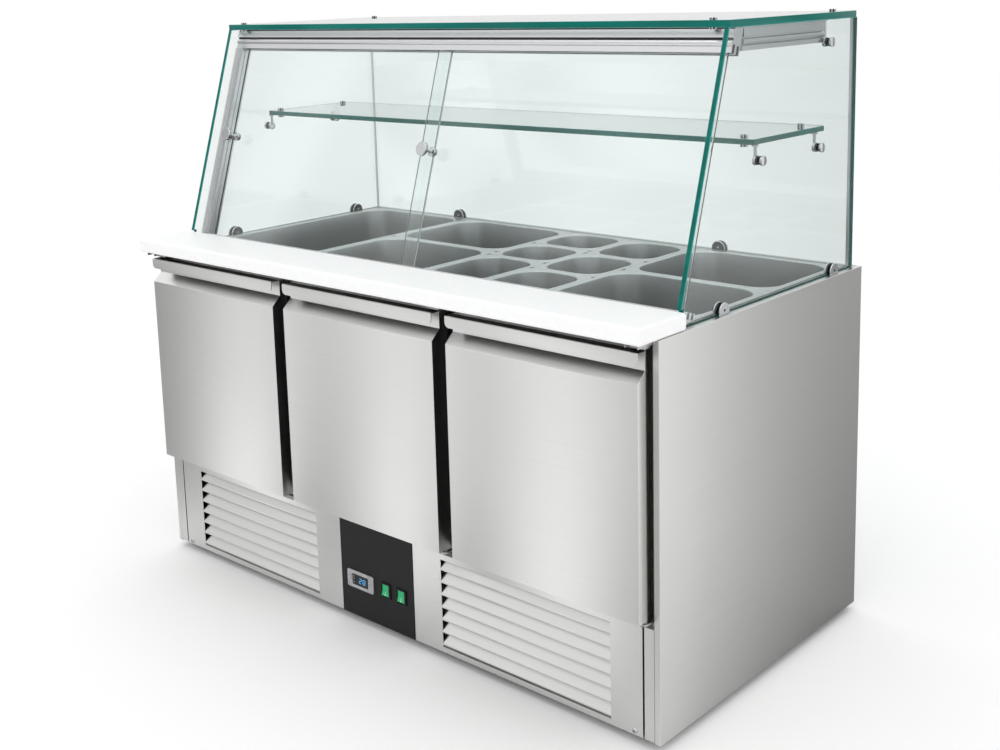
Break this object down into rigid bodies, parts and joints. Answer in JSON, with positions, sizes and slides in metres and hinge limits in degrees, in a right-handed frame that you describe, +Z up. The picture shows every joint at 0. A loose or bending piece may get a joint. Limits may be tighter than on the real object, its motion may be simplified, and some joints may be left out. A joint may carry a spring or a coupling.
{
  "type": "refrigerated saladette",
  "caption": "Refrigerated saladette cabinet with hinged doors, a cutting board, a well of food pans and a slanted glass case with sliding doors and a shelf.",
  "frame": {"origin": "bottom centre of the whole unit, on the floor", "axes": "+Z up, +X to the right seen from the front, the doors and the cutting board face -Y"},
  "size_m": [1.365, 0.75, 1.22],
  "materials": {
    "side_panels": "brushed",
    "back_panel": "galvanised",
    "base": "galvanised",
    "foam": "foam",
    "liner": "satin",
    "front_frame": "brushed",
    "black_trim": "matte",
    "front_panel": "brushed",
    "louvres": "brushed",
    "screws": "polished",
    "gland": "matte",
    "feet": "matte",
    "well_frame": "brushed",
    "pan_bars": "brushed",
    "control_plate": "satin black",
    "controller": "satin grey",
    "display": "glossy, lit",
    "keys": "satin",
    "switch_frames": "gloss",
    "rockers": "translucent green",
    "electrical_box": "galvanised",
    "compressor": "gloss black",
    "coils": "bare",
    "shroud": "black",
    "motor": "grey",
    "fan": "bare",
    "copper": "copper",
    "tray": "matte",
    "runners": "satin",
    "wire": "coated wire",
    "hinges": "zinc",
    "board": "satin",
    "pans": "satin",
    "glass": "clear",
    "fittings": "satin chrome",
    "profiles": "anodised",
    "door_skins": "brushed",
    "door_cores": "smooth",
    "gaskets": "soft"
  },
  "bodies": {
    "cabinet": {"side_panel_left": "side_panels", "side_panel_right": "side_panels", "back_panel": "back_panel", "base_tray": "base", "cabinet_insulation": "foam", "inner_liner": "liner", "front_frame": "front_frame", "mullion_trims": "black_trim", "lower_front_panel": "front_panel", "louvre_slats": "louvres", "panel_screws": "screws", "cord_gland": "gland", "levelling_feet": "feet", "pan_well_frame": "well_frame", "pan_support_bars": "pan_bars", "control_plate": "control_plate", "controller_housing": "controller", "controller_display": "display", "switch_frames": "switch_frames", "electrical_box": "electrical_box", "compressor": "compressor", "condenser_coil": "coils", "evaporator_coil": "coils", "fan_shroud": "shroud", "fan_motor": "motor", "refrigerant_lines": "copper", "drip_tray": "tray", "shelf_runners": "runners", "wire_shelves": "wire", "hinge_brackets": "hinges", "pan_full": "pans", "pans_half": "pans", "pans_small": "pans", "glass_walls": "glass", "glass_top_pane": "glass", "glass_shelf": "glass", "pane_clamps": "fittings", "shelf_supports": "fittings", "pane_connectors": "fittings", "door_rail": "profiles", "case_profiles": "profiles"},
    "door_left": {"door_skin_left": "door_skins", "door_core_left": "door_cores", "door_gasket_left": "gaskets"},
    "door_middle": {"door_skin_middle": "door_skins", "door_core_middle": "door_cores", "door_gasket_middle": "gaskets"},
    "door_right": {"door_skin_right": "door_skins", "door_core_right": "door_cores", "door_gasket_right": "gaskets"},
    "glass_door_left": {"sliding_door_left": "glass", "knob_left": "fittings"},
    "glass_door_right": {"sliding_door_right": "glass", "knob_right": "fittings"},
    "board": {"cutting_board": "board"},
    "rocker_left": {"switch_rocker_left": "rockers"},
    "rocker_right": {"switch_rocker_right": "rockers"},
    "key_left": {"controller_button_left": "keys"},
    "key_right": {"controller_button_right": "keys"},
    "fan": {"fan_blade": "fan"}
  },
  "joints": [
    {"name": "door_left_hinge", "type": "hinge", "parent": "cabinet", "child": "door_left", "pos_m": [-0.65705, -0.3305, 0.4717], "axis": [0, 0, -1], "range_deg": [0, 90]},
    {"name": "door_middle_hinge", "type": "hinge", "parent": "cabinet", "child": "door_middle", "pos_m": [0.20345, -0.3305, 0.4717], "axis": [0, 0, 1], "range_deg": [0, 90]},
    {"name": "door_right_hinge", "type": "hinge", "parent": "cabinet", "child": "door_right", "pos_m": [0.65705, -0.3305, 0.4717], "axis": [0, 0, 1], "range_deg": [0, 90]},
    {"name": "glass_door_left_slide", "type": "slide", "parent": "cabinet", "child": "glass_door_left", "axis": [1, 0, 0], "range_m": [0, 0.59]},
    {"name": "glass_door_right_slide", "type": "slide", "parent": "cabinet", "child": "glass_door_right", "axis": [1, 0, 0], "range_m": [-0.59, 0]},
    {"name": "board_lift", "type": "slide", "parent": "cabinet", "child": "board", "axis": [0, 0, 1], "range_m": [0, 0.15]},
    {"name": "rocker_left_tilt", "type": "hinge", "parent": "cabinet", "child": "rocker_left", "pos_m": [0.026, -0.3195, 0.0975], "axis": [1, 0, 0], "range_deg": [0, 14]},
    {"name": "rocker_right_tilt", "type": "hinge", "parent": "cabinet", "child": "rocker_right", "pos_m": [0.07, -0.3195, 0.0975], "axis": [1, 0, 0], "range_deg": [0, 14]},
    {"name": "key_left_press", "type": "slide", "parent": "cabinet", "child": "key_left", "axis": [0, 1, 0], "range_m": [0, 0.001], "stiffness_N_per_m": 300, "springref_m": -0.003},
    {"name": "key_right_press", "type": "slide", "parent": "cabinet", "child": "key_right", "axis": [0, 1, 0], "range_m": [0, 0.001], "stiffness_N_per_m": 300, "springref_m": -0.003},
    {"name": "fan_spin", "type": "hinge", "parent": "cabinet", "child": "fan", "pos_m": [0.25, -0.168, 0.111], "axis": [0, 1, 0], "continuous": true}
  ]
}
